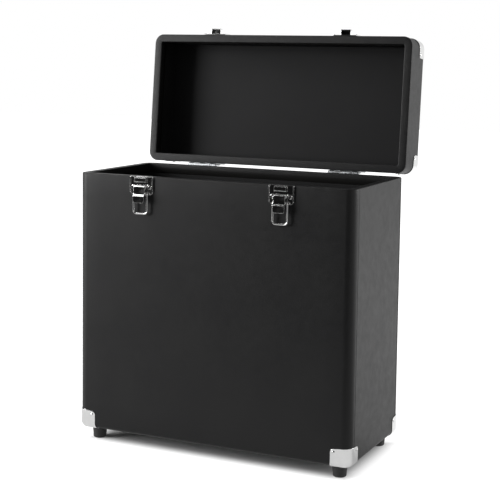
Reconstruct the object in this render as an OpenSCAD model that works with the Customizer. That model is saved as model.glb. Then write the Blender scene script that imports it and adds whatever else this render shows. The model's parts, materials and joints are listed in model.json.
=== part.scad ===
// Carrying case for twelve-inch records: a leatherette-covered board box on four feet,
// with a hinged lid that stands open on its hinge stops, two draw latches and a handle.
// Millimetres. X is to the right seen from the front, +Y is to the back, +Z is up.
// The origin is on the floor, under the middle of the box. The lid is drawn open.

/* [Case] */
// Width of the covered box
body_w = 348; // [280:1:430]
// Depth of the covered box, front to back
body_d = 163; // [130:1:240]
// Height of the covered box, without feet and lid
body_h = 307; // [220:1:370]
// Height of the lid
lid_h = 50; // [40:1:80]
// Outer radius of the upright edges
edge_r = 11.5; // [10:0.5:16]
// Outer radius of the box's bottom edges and the lid's top edges
base_r = 6; // [2:0.5:7]

/* [Boards and covers] */
// Thickness of the fibreboard
board_t = 9; // [7:0.5:11]
// Thickness of the leatherette
cover_t = 0.4; // [0.3:0.1:0.8]
// Thickness of the lining
lining_t = 0.3; // [0.2:0.1:1]
// How far the leatherette is turned in below the rim
turn_in = 12; // [8:1:20]
// Distance of the leatherette's seams from the edges of the box
seam_in = 13; // [13:0.5:22]

/* [Corner caps] */
// Reach of a corner cap's lobes along each wall
cap_w = 23; // [20:0.5:30]
// Height of a corner cap at its nails
cap_h = 21; // [17:0.5:26]
// Thickness of the cap's sheet
cap_t = 0.7; // [0.5:0.1:1.2]
// Rounding of the cap's lobes
lobe_r = 4; // [3:0.5:6]
// How far a cap's edge runs out at its foot
cap_flare = 1.4; // [0.4:0.1:3]
// How much higher a cap is at the upright edge than at its nails
cap_peak = 0.8; // [0:0.1:2]
// Distance of a cap's nails from its lobes' edges
nail_in = 4; // [3.5:0.5:7]

/* [Feet] */
// Height of a foot
foot_h = 15; // [12:0.5:25]
// Diameter of a foot where it meets the box
foot_top_d = 17.5; // [16:0.5:21]
// Diameter of a foot at the floor
foot_floor_d = 15.5; // [14:0.5:17]
// Rounding of a foot at the floor
foot_round = 2; // [1:0.1:2.4]
// Distance of a foot's centre from the two nearest walls
foot_in = 18.5; // [17:0.5:30]

/* [Lid hinge] */
// Distance of the hinge pin behind the back of the box
hinge_out = 3; // [2.8:0.1:5]
// Angle between the closed and the open lid, set by the stop tabs
open_angle = 95.6; // [90:0.1:105]
// Distance of each hinge from the middle
hinge_x = 96; // [60:1:120]
// Width of a hinge
hinge_w = 38; // [32:1:50]
// Height of a hinge leaf
leaf_h = 26; // [25:1:32]
// Thickness of a hinge leaf
leaf_t = 1.2; // [1:0.1:1.5]
// Diameter of the hinge pin
hinge_pin_d = 2.6; // [2:0.1:3]

/* [Latches] */
// Distance of each latch from the middle
latch_x = 88; // [50:1:120]
// Width of a base plate
plate_w = 30.5; // [29:0.5:40]
// Height of a base plate
plate_h = 21; // [20:0.5:26]
// Thickness of the plates
plate_t = 1; // [0.8:0.1:1.2]
// Width of a lever
lever_w = 14.4; // [12:0.2:17]
// Thickness of the lever's sheet
lever_t = 0.9; // [0.7:0.1:1.2]
// Depth of the lever's pin below the rim
lever_drop = 12.5; // [11:0.1:13]
// Diameter of the lever's pin
latch_pin_d = 2; // [1.6:0.1:2.4]
// Depth of the lever's lip below the rim
lip_drop = 30; // [27:0.5:36]
// Diameter of the bail's wire
wire_d = 2.2; // [1.6:0.1:2.4]
// Distance from the bail's pivot to the middle of its cross bar
bail_len = 23.9; // [22:0.1:28]
// Distance of the bail's pivot below the lever's pin while the lever is down
bail_arm = 6.5; // [6:0.1:7.5]
// Distance of the hook's lip from the lid's face
hook_out = 8; // [7:0.1:9]
// Height of a strike plate
strike_h = 18; // [16:0.5:24]

/* [Handle] */
// Distance of each handle pivot from the middle
handle_x = 62; // [50:1:90]
// Distance from the pivots to the middle of the grip
handle_reach = 30; // [28:1:40]
// Height of the pivots above the lid
handle_lift = 9.5; // [9.5:0.5:14]
// Diameter of the handle's steel bow
bow_d = 6; // [5:0.5:7]
// Diameter of the grip at its middle
grip_d = 17; // [15:0.5:18]
// Diameter of the grip at its ends
grip_end_d = 13.5; // [12:0.5:14.5]

/* [Fit] */
// Radial clearance of a pin in what turns on it
pin_gap = 0.05; // [0.02:0.01:0.1]
// Radial clearance of a nail, rivet or screw in its hole
nail_gap = 0.05; // [0.02:0.01:0.1]
// Clearance between pieces that swing past each other
swing_gap = 0.3; // [0.2:0.05:0.4]
// Clearance between a lever and its base plate
lever_gap = 0.4; // [0.3:0.05:1]

/* [Hidden] */

$fn = 48;
eps = 0.01;
beyond = 500;                      // past the case on any side
leatherette = "#262626";
chrome = "#d4d6d8";
steel = "#a8a8a8";
fibreboard = "#8a6b4a";
lining_black = "#161616";
rubber_black = "#1c1c1c";

wall = cover_t + board_t;          // outside of the leatherette to the board's inner face
rim_z = foot_h + body_h;           // height of the rim that the lid closes on

board_left = 2.4;                  // board left behind the point of a nail, rivet or screw
nail_d = 1.6;
nail_l = cap_t + wall - board_left;
nail_head_d = 3.6;
nail_head_t = 0.9;
rivet_d = 3.2;                     // tubular, open at the head
rivet_l = plate_t + wall - board_left;
rivet_head_d = 5.2;
rivet_head_t = 1;
rivet_bore_d = 2;
rivet_bore_l = 3;
screw_d = 3;
screw_l = leaf_t + wall - board_left;
screw_head_d = 6;
screw_head_t = 1.8;

foot_bore_d = screw_head_d + 3;
foot_seat = 8;                     // height of the screw's seat in a foot
foot_screw_l = foot_h - foot_seat + wall - board_left;

ear_r = latch_pin_d / 2 + 0.8;     // ears of the base plate, round the lever's pin
ear_t = 1.2;
cheek_r = ear_r + swing_gap + lever_t;        // the lever's skin passes over the ears
lever_out = plate_t + lever_gap + cheek_r;    // the lever's pin, from the face of the box
lever_back = lever_out - 0.6;      // the bail's pivot lies inside the lever's dead centre
bail_drop = lever_drop + bail_arm; // depth of the bail's pivot below the rim
eye_r = wire_d / 2 + 1.2;          // the cheeks round the bail's pivot
wire_r = wire_d / 2;
bail_x = lever_w / 2 + 0.4 + wire_r;          // middle of the bail's legs
bail_bend = 3.5;
ear_x = lever_w / 2 - lever_t - 0.2;          // outer faces of the ears
boss_h = 6.2;
boss_out = 4;
plate_clip = 3;
rail_w = 1.2;                      // raised edges of a plate
rail_t = 0.7;
rivet_x = (lever_w / 2 + plate_w / 2 - rail_w) / 2;     // midway from the lever to a rail
lip_bend = 2.2;                    // radius of the two bends above the lever's lip
lip_turn = atan(4 / 3);            // degrees that each turns; sine 0.8 and cosine 0.6
bend_top = bail_drop + 0.6;        // depth below the rim at which they begin
latched_lean = 2;                  // degrees that a fastened bail leans out of upright
bar_up = bail_len * cos(latched_lean) - bail_drop;
hook_ledge = bar_up - wire_r - swing_gap;     // the bail's cross bar pulls on this ledge
hook_lip_h = 3.5;
hook_w = lever_w - 1.8;

barrel_r = hinge_out - 0.4;
knuckles = 5;
knuckle_gap = 0.3;
knuckle_w = (hinge_w - (knuckles - 1) * knuckle_gap) / knuckles;
stop_l = 8;                        // reach of the stop tabs from the pin
stop_t = 1.2;
stop_gap = 0.1;
hinge_screw_x = hinge_w / 2 - 7;
hinge_screws = [[0, leaf_h / 2], [-hinge_screw_x, leaf_h - 5], [hinge_screw_x, leaf_h - 5]];

handle_eye_r = 5;
handle_eye_w = 8;
handle_pin_d = 4;
bow_bend = 14;
bracket_w = 18;
bracket_l = 30;
bracket_t = 1.2;
bracket_ear_t = 2;
bracket_ear_r = 4.6;
bracket_rivet_y = 11;
collar_l = 4;
grip_l = 2 * (handle_x - bow_bend - collar_l);

// ---- frames ----

// k = 0 to 3: back right, back left, front left, front right
function corner_x(k) = (k == 0 || k == 3) ? 1 : -1;
function corner_y(k) = k < 2 ? 1 : -1;

// box and lid are drawn as a tray that stands on z = 0, with its rim at the top
module as_body() {
  translate([0, 0, foot_h]) children();
}

module as_lid() {
  on_open_lid() translate([0, 0, rim_z + lid_h]) mirror([0, 0, 1]) children();
}

// turns what is drawn on the closed lid to the open lid
module on_open_lid() {
  translate([0, body_d / 2 + hinge_out, rim_z])
    rotate([-open_angle, 0, 0])
      translate([0, -body_d / 2 - hinge_out, -rim_z])
        children();
}

// the middle of a tray's upright edge, on the tray's underside
module at_corner(k) {
  translate([corner_x(k) * (body_w / 2 - edge_r), corner_y(k) * (body_d / 2 - edge_r), 0])
    rotate([0, 0, 90 * k]) children();
}

// a latch's middle on the front, at the rim; side is -1 for left and 1 for right
module at_latch(side) {
  translate([side * latch_x, -body_d / 2, rim_z]) children();
}

// a hinge's middle, on its pin
module at_hinge(side) {
  translate([side * hinge_x, body_d / 2 + hinge_out, rim_z]) children();
}

// the lid's top under a handle pivot
module at_bracket(side) {
  translate([side * handle_x, 0, rim_z + lid_h]) children();
}

// an outline of (outwards from the front, up), drawn w wide along X
module side_view(w) {
  rotate([90, 0, -90]) linear_extrude(w, center = true) children();
}

module along_x(length, r) {
  rotate([0, 90, 0]) cylinder(h = length, r = r, center = true);
}

// ---- nails, rivets and screws, heads up on z = 0; a gap makes the hole ----

module shank(length, d, gap) {
  translate([0, 0, -length]) cylinder(h = length + 0.2, d = d + 2 * gap);
}

// a round head, domed from its middle
module dome(d, h) {
  intersection() {
    cylinder(h = h, d = d);
    translate([0, 0, h - d]) sphere(d);
  }
}

module nail(gap = 0) {
  shank(nail_l, nail_d, gap);
  if (gap == 0) dome(nail_head_d, nail_head_t);
}

module rivet(gap = 0) {
  difference() {
    union() {
      shank(rivet_l, rivet_d, gap);
      if (gap == 0) cylinder(h = rivet_head_t, d1 = rivet_head_d, d2 = rivet_head_d - 0.8);
    }
    if (gap == 0)
      translate([0, 0, rivet_head_t - rivet_bore_l]) cylinder(h = 2 * rivet_bore_l, d = rivet_bore_d);
  }
}

module screw(gap = 0, length = screw_l) {
  shank(length, screw_d, gap);
  if (gap == 0)
    difference() {
      dome(screw_head_d, screw_head_t);
      for (a = [0, 90])
        rotate([0, 0, a]) translate([0, 0, screw_head_t]) cube([3.4, 0.8, 1.6], center = true);
    }
}

// a cap's three nails: side wall, back wall, underside
module cap_nail_places() {
  along = cap_w - edge_r - nail_in;
  under = (edge_r - base_r - nail_head_d / 2) / sqrt(2);
  translate([edge_r + cap_t, -along, cap_h - nail_in]) rotate([0, 90, 0]) children();
  translate([-along, edge_r + cap_t, cap_h - nail_in]) rotate([-90, 0, 0]) children();
  translate([under, under, -cap_t]) rotate([180, 0, 0]) children();
}

// up is -1 on the box and 1 on the lid
module latch_rivet_places(up) {
  for (side = [-1, 1], x = [-rivet_x, rivet_x])
    at_latch(side) translate([x, -plate_t, up * lever_drop]) rotate([90, 0, 0]) children();
}

module hinge_screw_places(up) {
  for (side = [-1, 1], p = hinge_screws)
    at_hinge(side) translate([p.x, leaf_t - hinge_out, up * p.y]) rotate([-90, 0, 0]) children();
}

module handle_rivet_places() {
  for (side = [-1, 1], y = [-bracket_rivet_y, bracket_rivet_y])
    at_bracket(side) translate([0, y, bracket_t]) children();
}

module foot_places() {
  for (k = [0:3]) foot_place(k) children();
}

module foot_place(k) {
  translate([corner_x(k) * (body_w / 2 - foot_in), corner_y(k) * (body_d / 2 - foot_in), 0])
    children();
}

// every hole in the box's boards, leatherette and lining
module body_holes() {
  as_body() for (k = [0:3]) at_corner(k) cap_nail_places() nail(nail_gap);
  latch_rivet_places(-1) rivet(nail_gap);
  hinge_screw_places(-1) screw(nail_gap);
  foot_places() translate([0, 0, foot_seat]) rotate([180, 0, 0]) screw(nail_gap, foot_screw_l);
}

module lid_holes() {
  as_lid() for (k = [0:3]) at_corner(k) cap_nail_places() nail(nail_gap);
  on_open_lid() {
    latch_rivet_places(1) rivet(nail_gap);
    hinge_screw_places(1) screw(nail_gap);
    handle_rivet_places() rivet(nail_gap);
  }
}

// ---- boards, leatherette and lining of a tray, h high ----

// a wall seen from its end, r thick, rounded at its outer foot
module edge_outline(r, h, foot_r) {
  difference() {
    square([r, h]);
    translate([r - foot_r, -eps])
      difference() {
        square([foot_r + eps, foot_r + eps]);
        translate([0, foot_r + eps]) circle(foot_r);
      }
  }
}

// a solid block with round upright edges and a round bottom edge
module round_block(w, d, h, r, foot_r) {
  for (k = [0:3]) {
    reach = k % 2 == 0 ? w / 2 - r : d / 2 - r;
    run = k % 2 == 0 ? d - 2 * r : w - 2 * r;
    translate([corner_x(k) * (w / 2 - r), corner_y(k) * (d / 2 - r), 0])
      rotate([0, 0, 90 * k]) rotate_extrude(angle = 90) edge_outline(r, h, foot_r);
    rotate([0, 0, 90 * k]) translate([reach, 0, 0])
      rotate([90, 0, 0]) linear_extrude(run, center = true) edge_outline(r, h, foot_r);
  }
  translate([r - w / 2, r - d / 2, 0]) cube([w - 2 * r, d - 2 * r, h]);
}

// the tray's outside, taken in by i at the walls and the underside, up to z = h
module tray_form(h, i) {
  translate([0, 0, i])
    round_block(body_w - 2 * i, body_d - 2 * i, h - i, edge_r - i, base_r - i);
}

// the square space inside the walls, taken in by i, from z0 to z1
module hollow(i, z0, z1) {
  translate([i - body_w / 2, i - body_d / 2, z0])
    cube([body_w - 2 * i, body_d - 2 * i, z1 - z0]);
}

// front (side = -1) or back (side = 1) board, over the whole width
module end_board(h, side) {
  intersection() {
    tray_form(h - cover_t, cover_t);
    translate([-beyond, side > 0 ? body_d / 2 - wall : -beyond, -eps])
      cube([2 * beyond, beyond - body_d / 2 + wall, beyond]);
  }
}

// left (side = -1) or right (side = 1) board, between the front and the back
module side_board(h, side) {
  intersection() {
    tray_form(h - cover_t, cover_t);
    translate([side > 0 ? body_w / 2 - wall : -beyond, wall - body_d / 2, -eps])
      cube([beyond - body_w / 2 + wall, body_d - 2 * wall, beyond]);
  }
}

// bottom of the box or top of the lid, between the four walls
module floor_board() {
  hollow(wall, cover_t, wall);
}

// the leatherette as one skin: outside, over the rim and turned in
module skin(h) {
  difference() {
    tray_form(h, 0);
    tray_form(h - cover_t, cover_t);
    hollow(wall + cover_t, h - turn_in, h + 1);
  }
  difference() {
    hollow(wall, h - turn_in, h - cover_t);
    hollow(wall + cover_t, h - turn_in - 1, h);
  }
}

// the front (side = -1) or back (side = 1) sheet, wrapped round both upright edges
module end_cover(h, side) {
  y = body_d / 2 - seam_in;
  intersection() {
    skin(h);
    translate([-beyond, side > 0 ? y : -beyond, -eps]) cube([2 * beyond, beyond - y, beyond]);
  }
}

// the left (side = -1) or right (side = 1) sheet, between the seams
module side_cover(h, side) {
  x = body_w / 2 - seam_in;
  y = body_d / 2 - seam_in;
  intersection() {
    skin(h);
    translate([side > 0 ? x : -beyond, -y, -eps]) cube([beyond - x, 2 * y, beyond]);
  }
}

// the sheet inside the seams on the underside
module floor_cover() {
  hollow(seam_in, 0, cover_t);
}

// one strip round all four walls
module wall_cover(h) {
  difference() {
    skin(h);
    hollow(seam_in, -1, 1);
  }
}

module lining(h) {
  difference() {
    hollow(wall, wall, h - turn_in);
    hollow(wall + lining_t, wall + lining_t, h);
  }
}

module body_front_panel() {
  color(fibreboard) difference() { as_body() end_board(body_h, -1); body_holes(); }
}

module body_back_panel() {
  color(fibreboard) difference() { as_body() end_board(body_h, 1); body_holes(); }
}

module body_left_panel() {
  color(fibreboard) difference() { as_body() side_board(body_h, -1); body_holes(); }
}

module body_right_panel() {
  color(fibreboard) difference() { as_body() side_board(body_h, 1); body_holes(); }
}

module body_bottom_panel() {
  color(fibreboard) difference() { as_body() floor_board(); body_holes(); }
}

module body_front_cover() {
  color(leatherette) difference() { as_body() end_cover(body_h, -1); body_holes(); }
}

module body_back_cover() {
  color(leatherette) difference() { as_body() end_cover(body_h, 1); body_holes(); }
}

module body_left_cover() {
  color(leatherette) difference() { as_body() side_cover(body_h, -1); body_holes(); }
}

module body_right_cover() {
  color(leatherette) difference() { as_body() side_cover(body_h, 1); body_holes(); }
}

module body_bottom_cover() {
  color(leatherette) difference() { as_body() floor_cover(); body_holes(); }
}

module body_lining() {
  color(lining_black) as_body() lining(body_h);
}

module lid_front_panel() {
  color(fibreboard) difference() { as_lid() end_board(lid_h, -1); lid_holes(); }
}

module lid_back_panel() {
  color(fibreboard) difference() { as_lid() end_board(lid_h, 1); lid_holes(); }
}

module lid_left_panel() {
  color(fibreboard) difference() { as_lid() side_board(lid_h, -1); lid_holes(); }
}

module lid_right_panel() {
  color(fibreboard) difference() { as_lid() side_board(lid_h, 1); lid_holes(); }
}

module lid_top_panel() {
  color(fibreboard) difference() { as_lid() floor_board(); lid_holes(); }
}

module lid_wall_cover() {
  color(leatherette) difference() { as_lid() wall_cover(lid_h); lid_holes(); }
}

module lid_top_cover() {
  color(leatherette) difference() { as_lid() floor_cover(); lid_holes(); }
}

module lid_lining() {
  color(lining_black) as_lid() lining(lid_h);
}

// ---- corner caps: pressed sheet round an upright edge, with a lobe on each face ----

cap_lobe = cap_w - edge_r;         // from the upright edge's middle to a lobe's edge
cap_foot = cap_lobe + cap_flare;   // and to the end of the foot

// the sheet seen from its end, from the edge's middle outwards, with its bottom flange
module cap_outline() {
  top = cap_h + cap_peak;
  difference() {
    translate([0, -cap_t]) edge_outline(edge_r + cap_t, top + cap_t, base_r + cap_t);
    translate([-1, 0]) edge_outline(edge_r + 1, top + 1, base_r);
  }
}

// a flange seen from the front: (away from the upright edge, up)
module flange_outline() {
  flare_h = cap_h / 3;
  flare_r = (cap_flare * cap_flare + flare_h * flare_h) / (2 * cap_flare);
  difference() {
    union() {
      polygon([[-1, -cap_t - 1], [cap_foot, -cap_t - 1], [cap_foot, 0], [cap_lobe, flare_h],
               [cap_lobe, cap_h - lobe_r], [cap_lobe - lobe_r, cap_h - lobe_r],
               [cap_lobe - lobe_r, cap_h], [0, cap_h + cap_peak], [-1, cap_h + cap_peak]]);
      translate([cap_lobe - lobe_r, cap_h - lobe_r]) circle(lobe_r);
    }
    translate([cap_lobe + flare_r, flare_h]) circle(flare_r, $fn = 1440);
  }
}

// a flange on the wall whose outside looks to +X, reaching -Y
module flange() {
  intersection() {
    rotate([90, 0, 0]) linear_extrude(cap_foot) cap_outline();
    translate([-1, 0, 0]) rotate([90, 0, 90]) linear_extrude(edge_r + cap_t + 2)
      mirror([1, 0]) flange_outline();
  }
}

module corner_cap() {
  difference() {
    union() {
      rotate_extrude(angle = 90) cap_outline();
      flange();
      mirror([1, -1, 0]) flange();
      translate([-cap_foot, -cap_foot, -cap_t]) cube([cap_foot, cap_foot, cap_t]);
    }
    translate([edge_r - foot_in, edge_r - foot_in, -cap_t - 1]) {
      cylinder(h = cap_t + 2, d = foot_top_d + 1);
      translate([-cap_w, -cap_w, 0]) cube([cap_w, cap_w, cap_t + 2]);
    }
    cap_nail_places() shank(2, nail_d, nail_gap);
  }
}

module body_corner(k) {
  color(chrome) as_body() at_corner(k) corner_cap();
}

module lid_corner(k) {
  color(chrome) as_lid() at_corner(k) corner_cap();
}

module body_corner_nails() {
  color(chrome) as_body() for (k = [0:3]) at_corner(k) cap_nail_places() nail();
}

module lid_corner_nails() {
  color(chrome) as_lid() for (k = [0:3]) at_corner(k) cap_nail_places() nail();
}

// ---- feet: moulded rubber, each on one screw sunk in its bore ----

module foot(k) {
  floor_r = foot_floor_d / 2;
  top_r = foot_top_d / 2;
  color(rubber_black) foot_place(k)
    difference() {
      rotate_extrude() {
        polygon([[0, 0], [floor_r - foot_round, 0], [floor_r - foot_round, foot_round],
                 [floor_r, foot_round], [top_r, foot_h], [0, foot_h]]);
        translate([floor_r - foot_round, foot_round]) circle(foot_round);
      }
      translate([0, 0, -1]) cylinder(h = foot_seat + 1, d = foot_bore_d);
      cylinder(h = foot_h + 1, d = screw_d + 2 * nail_gap);
    }
}

module foot_screws() {
  color(steel) foot_places()
    translate([0, 0, foot_seat]) rotate([180, 0, 0]) screw(0, foot_screw_l);
}

// ---- latches: base plate, lever on its pin, wire bail, strike with its hook ----

// plate outline with two clipped corners, h high below z = 0
module plate_outline(h) {
  polygon([[-plate_w / 2, 0], [plate_w / 2, 0], [plate_w / 2, plate_clip - h],
           [plate_w / 2 - plate_clip, -h], [plate_clip - plate_w / 2, -h],
           [-plate_w / 2, plate_clip - h]]);
}

// raised edges that stiffen a plate
module plate_rails(h) {
  for (s = [-1, 1])
    translate([s * (plate_w - rail_w) / 2 - rail_w / 2, -plate_t - rail_t, plate_clip - h])
      cube([rail_w, plate_t / 2 + rail_t, h - plate_clip - 0.8]);
}

module latch_base(side) {
  color(chrome) at_latch(side)
    difference() {
      union() {
        rotate([90, 0, 0]) linear_extrude(plate_t) plate_outline(plate_h);
        plate_rails(plate_h);
        side_view(lever_w)
          polygon([[0, -0.6], [boss_out, -0.6], [plate_t + boss_out, -1.6],
                   [plate_t + boss_out, 0.4 - boss_h], [boss_out, -boss_h - 0.6],
                   [0, -boss_h - 0.6]]);
        for (s = [-1, 1]) translate([s * (ear_x - ear_t / 2), 0, 0]) side_view(ear_t) ear();
      }
      translate([0, -lever_out, -lever_drop]) along_x(lever_w, latch_pin_d / 2 + nail_gap);
      for (x = [-rivet_x, rivet_x])
        translate([x, -plate_t, -lever_drop]) rotate([90, 0, 0]) shank(2, rivet_d, nail_gap);
    }
}

// an ear leans up from its root, clear of the lever's skin as that turns over it
module ear() {
  translate([lever_out, -lever_drop]) circle(ear_r);
  polygon([[plate_t / 2, -lever_drop - 0.2], [lever_out - 0.87 * ear_r, 0.5 * ear_r - lever_drop],
           [lever_out + 0.5 * ear_r, -lever_drop - 0.87 * ear_r],
           [plate_t / 2, -lever_drop - 5]]);
}

module latch_pins() {
  color(steel) for (side = [-1, 1])
    at_latch(side) translate([0, -lever_out, -lever_drop]) along_x(lever_w, latch_pin_d / 2);
}

module latch_rivets() {
  color(chrome) latch_rivet_places(-1) rivet();
}

// part of a sheet bent round c: outer radius r, from angle a0 to a1
module bend(c, r, a0, a1) {
  far = 2 * r;
  mid = (a0 + a1) / 2;
  translate(c)
    intersection() {
      difference() {
        circle(r);
        circle(r - lever_t);
      }
      polygon([[0, 0], far * [cos(a0), sin(a0)], far * [cos(mid), sin(mid)],
               far * [cos(a1), sin(a1)]]);
    }
}

// the lever's skin from the roll over the pin, down the front, to its flared lip
module lever_skin() {
  front = lever_out + cheek_r;
  step = 2 * lip_bend * (1 - cos(lip_turn));
  fall = 2 * lip_bend * sin(lip_turn);
  bend([lever_out, -lever_drop], cheek_r, 0, 50);
  translate([front - lever_t, -bend_top]) square([lever_t, bend_top - lever_drop]);
  bend([front + lip_bend - lever_t / 2, -bend_top], lip_bend + lever_t / 2, 180, 180 + lip_turn);
  bend([front + step - lip_bend - lever_t / 2, -bend_top - fall], lip_bend + lever_t / 2,
       0, lip_turn);
  translate([front + step - lever_t, -lip_drop]) square([lever_t, lip_drop - bend_top - fall]);
}

// a cheek carries the lever's pin and the bail's pivot
module lever_cheek() {
  translate([lever_out, -lever_drop]) circle(cheek_r);
  translate([lever_back, -bail_drop]) circle(eye_r);
  polygon([[lever_out - cheek_r, -lever_drop], [lever_out + cheek_r, -lever_drop],
           [lever_out + cheek_r, -bend_top], [lever_back, -bail_drop - eye_r],
           [lever_back - eye_r, -bail_drop]]);
}

module lever(side) {
  lip_corner = 2.5;
  color(chrome) at_latch(side)
    difference() {
      union() {
        side_view(lever_w) lever_skin();
        for (s = [-1, 1])
          translate([s * (lever_w - lever_t) / 2, 0, 0]) side_view(lever_t) lever_cheek();
      }
      translate([0, -lever_out, -lever_drop]) along_x(2 * lever_w, latch_pin_d / 2 + pin_gap);
      translate([0, -lever_back, -bail_drop]) along_x(2 * lever_w, wire_r + pin_gap);
      for (s = [0, 1]) mirror([s, 0, 0])
        translate([lever_w / 2 - lip_corner, 0, lip_corner - lip_drop])
          difference() {
            translate([0, -beyond, -lip_corner - 1])
              cube([lip_corner + 1, beyond, lip_corner + 1]);
            rotate([90, 0, 0]) cylinder(h = beyond, r = lip_corner);
          }
    }
}

// a quarter bend of wire round the origin, from +X to +Y
module wire_bend(r, wire) {
  rotate_extrude(angle = 90) translate([r, 0]) circle(wire);
}

module bail(side) {
  elbow = bail_x - lever_w / 2;
  peg = 1.1;
  color(chrome) at_latch(side) translate([0, -lever_back, -bail_drop])
    union() {
      for (s = [0, 1]) mirror([s, 0, 0]) {
        translate([lever_w / 2 - peg, 0, 0]) rotate([0, 90, 0]) cylinder(h = peg, r = wire_r);
        translate([lever_w / 2, 0, -elbow]) rotate([90, 0, 0]) wire_bend(elbow, wire_r);
        translate([bail_x, 0, bail_bend - bail_len])
          cylinder(h = bail_len - bail_bend - elbow, r = wire_r);
        translate([bail_x - bail_bend, 0, bail_bend - bail_len])
          rotate([-90, 0, 0]) wire_bend(bail_bend, wire_r);
      }
      translate([0, 0, -bail_len]) along_x(2 * (bail_x - bail_bend), wire_r);
    }
}

module strike(side) {
  window = hook_w + 0.6;
  color(chrome) on_open_lid() at_latch(side)
    difference() {
      union() {
        translate([0, 0, 0.4]) mirror([0, 0, 1])
          rotate([90, 0, 0]) linear_extrude(plate_t) plate_outline(strike_h);
        translate([0, 0, 0.4]) mirror([0, 0, 1]) plate_rails(strike_h);
        side_view(hook_w)
          polygon([[plate_t / 2, hook_ledge - plate_t], [hook_out - 0.5, hook_ledge - plate_t],
                   [hook_out, hook_ledge - plate_t + 0.5], [hook_out, hook_ledge + hook_lip_h],
                   [hook_out - plate_t, hook_ledge + hook_lip_h],
                   [hook_out - plate_t, hook_ledge], [plate_t / 2, hook_ledge]]);
      }
      translate([-window / 2, -plate_t - eps, hook_ledge]) cube([window, plate_t + 1, 6.5]);
      for (x = [-rivet_x, rivet_x])
        translate([x, -plate_t, lever_drop]) rotate([90, 0, 0]) shank(2, rivet_d, nail_gap);
    }
}

module strike_rivets() {
  color(chrome) on_open_lid() latch_rivet_places(1) rivet();
}

// ---- hinges: two leaves that share a pin; the lid's leaf has the stop tabs ----

function knuckle_x(i) = i * (knuckle_w + knuckle_gap) - (hinge_w - knuckle_w) / 2;

// first is the leaf's first knuckle, 0 on the box and 1 on the lid
module leaf(first) {
  relief = barrel_r + 0.4;
  difference() {
    union() {
      difference() {
        translate([-hinge_w / 2, -hinge_out, 0]) cube([hinge_w, leaf_t, leaf_h]);
        for (i = [1 - first:2:knuckles - 1])
          translate([knuckle_x(i) - knuckle_w / 2 - knuckle_gap, -hinge_out - 1, -1])
            cube([knuckle_w + 2 * knuckle_gap, leaf_t + 2, relief + 1]);
      }
      for (i = [first:2:knuckles - 1])
        translate([knuckle_x(i), 0, 0]) {
          along_x(knuckle_w, barrel_r);
          if (first == 1) stop_tab();
        }
    }
    along_x(2 * hinge_w, hinge_pin_d / 2 + pin_gap);
    for (p = hinge_screws)
      translate([p.x, leaf_t - hinge_out, p.y]) rotate([-90, 0, 0]) shank(2, screw_d, nail_gap);
  }
}

// stands out from a knuckle, and lies along the lower leaf when the lid is open
module stop_tab() {
  rotate([open_angle, 0, 0])
    translate([-knuckle_w / 2, leaf_t + stop_gap - hinge_out, -stop_l])
      cube([knuckle_w, stop_t, stop_l]);
}

module body_leaf(side) {
  color(steel) at_hinge(side) mirror([0, 0, 1]) leaf(0);
}

module lid_leaf(side) {
  color(steel) on_open_lid() at_hinge(side) leaf(1);
}

module hinge_pins() {
  head_t = 0.8;
  color(steel) for (side = [-1, 1]) at_hinge(side) {
    along_x(hinge_w + 2 * head_t, hinge_pin_d / 2);
    for (s = [-1, 1])
      translate([s * (hinge_w + head_t + 0.1) / 2, 0, 0]) along_x(head_t - 0.1, barrel_r - 0.6);
  }
}

module hinge_body_screws() {
  color(steel) hinge_screw_places(-1) screw();
}

module hinge_lid_screws() {
  color(steel) on_open_lid() hinge_screw_places(1) screw();
}

// ---- handle: a steel bow with a padded grip, on two riveted brackets ----

module bracket(side) {
  ear_in = handle_eye_w / 2 + swing_gap;
  color(chrome) on_open_lid() at_bracket(side)
    difference() {
      union() {
        for (y = [-1, 1]) translate([0, y * (bracket_l - bracket_w) / 2, 0])
          cylinder(h = bracket_t, d = bracket_w);
        translate([-bracket_w / 2, (bracket_w - bracket_l) / 2, 0])
          cube([bracket_w, bracket_l - bracket_w, bracket_t]);
        for (s = [-1, 1])
          translate([s * (ear_in + bracket_ear_t / 2), 0, 0]) side_view(bracket_ear_t) {
            translate([0, handle_lift]) circle(bracket_ear_r);
            polygon([[-bracket_ear_r - 2, 0.5], [bracket_ear_r + 2, 0.5],
                     [bracket_ear_r, handle_lift], [-bracket_ear_r, handle_lift]]);
          }
      }
      translate([0, 0, handle_lift]) along_x(bracket_w, handle_pin_d / 2 + nail_gap);
      for (y = [-bracket_rivet_y, bracket_rivet_y])
        translate([0, y, bracket_t]) shank(2, rivet_d, nail_gap);
    }
}

module handle_pins() {
  half = handle_eye_w / 2 + swing_gap + bracket_ear_t;
  color(chrome) on_open_lid() for (side = [-1, 1])
    at_bracket(side) translate([0, 0, handle_lift]) {
      along_x(2 * half + 1, handle_pin_d / 2);
      for (s = [-1, 1]) translate([s * (half + 0.5), 0, 0]) along_x(0.9, handle_pin_d / 2 + 1);
    }
}

module handle_rivets() {
  color(chrome) on_open_lid() handle_rivet_places() rivet();
}

// the handle hangs plumb from the open lid; its children lie in its plane, reaching +Y
module in_handle() {
  on_open_lid() translate([0, 0, rim_z + lid_h + handle_lift])
    rotate([open_angle - 90, 0, 0]) children();
}

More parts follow.
